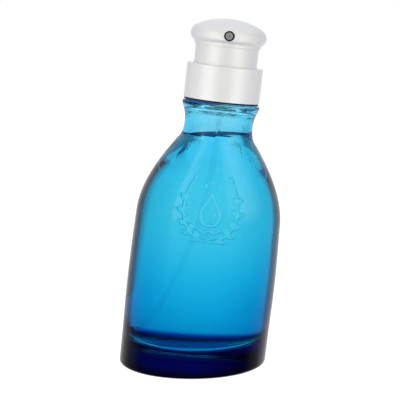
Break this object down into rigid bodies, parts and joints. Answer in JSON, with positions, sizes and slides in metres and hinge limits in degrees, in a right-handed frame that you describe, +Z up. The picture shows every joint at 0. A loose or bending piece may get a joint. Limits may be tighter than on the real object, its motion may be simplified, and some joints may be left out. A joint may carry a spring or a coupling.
{
  "type": "aftershave bottle",
  "caption": "Round glass aftershave bottle that leans to one side, with a satin silver collar and a domed press button that works a crimped spray pump.",
  "frame": {"origin": "centre of the flat base, on the plane the bottle rests on", "axes": "+Z up from the base, -Y out of the spray nozzle, +X the way the neck leans"},
  "size_m": [0.0581, 0.0534, 0.1237],
  "materials": {
    "blue_glass": "gloss",
    "liquid": "gloss",
    "clear_tube": "satin",
    "white_polymer": "satin",
    "grey_polymer": "satin",
    "black_polymer": "satin",
    "seal_rubber": "matte",
    "steel": "polished",
    "bare_aluminium": "satin",
    "satin_silver": "satin"
  },
  "bodies": {
    "bottle": {"glass_bottle": "blue_glass", "aftershave_liquid": "liquid", "dip_tube": "clear_tube", "pump_housing": "white_polymer", "return_spring": "steel", "stem_seal": "seal_rubber", "turret_cap": "white_polymer", "neck_gasket": "seal_rubber", "crimp_ferrule": "bare_aluminium", "collar_liner": "black_polymer", "collar_sleeve": "satin_silver"},
    "plunger": {"pump_stem": "white_polymer", "valve_pin": "white_polymer", "preload_spring": "steel"},
    "button": {"actuator_core": "grey_polymer", "button_sleeve": "satin_silver", "button_dome": "satin_silver", "nozzle_insert": "grey_polymer"},
    "piston": {"metering_piston": "white_polymer"},
    "ball": {"inlet_ball": "steel"}
  },
  "joints": [
    {"name": "button_press", "type": "slide", "parent": "bottle", "child": "plunger", "axis": [0.1097, 0, 0.994], "range_m": [-0.0035, 0], "stiffness_N_per_m": 2500, "springref_m": 0.0012, "deforming": ["return_spring"]},
    {"name": "button_turn", "type": "hinge", "parent": "plunger", "child": "button", "pos_m": [0.01207, 0, 0.10934], "axis": [0.1097, 0, 0.994], "continuous": true},
    {"name": "piston_slip", "type": "slide", "parent": "plunger", "child": "piston", "axis": [0.1097, 0, 0.994], "range_m": [0, 0.0005], "stiffness_N_per_m": 300, "springref_m": -0.0015, "deforming": ["preload_spring"]},
    {"name": "ball_lift", "type": "slide", "parent": "bottle", "child": "ball", "axis": [0.1097, 0, 0.994], "range_m": [0, 0.00045]}
  ]
}
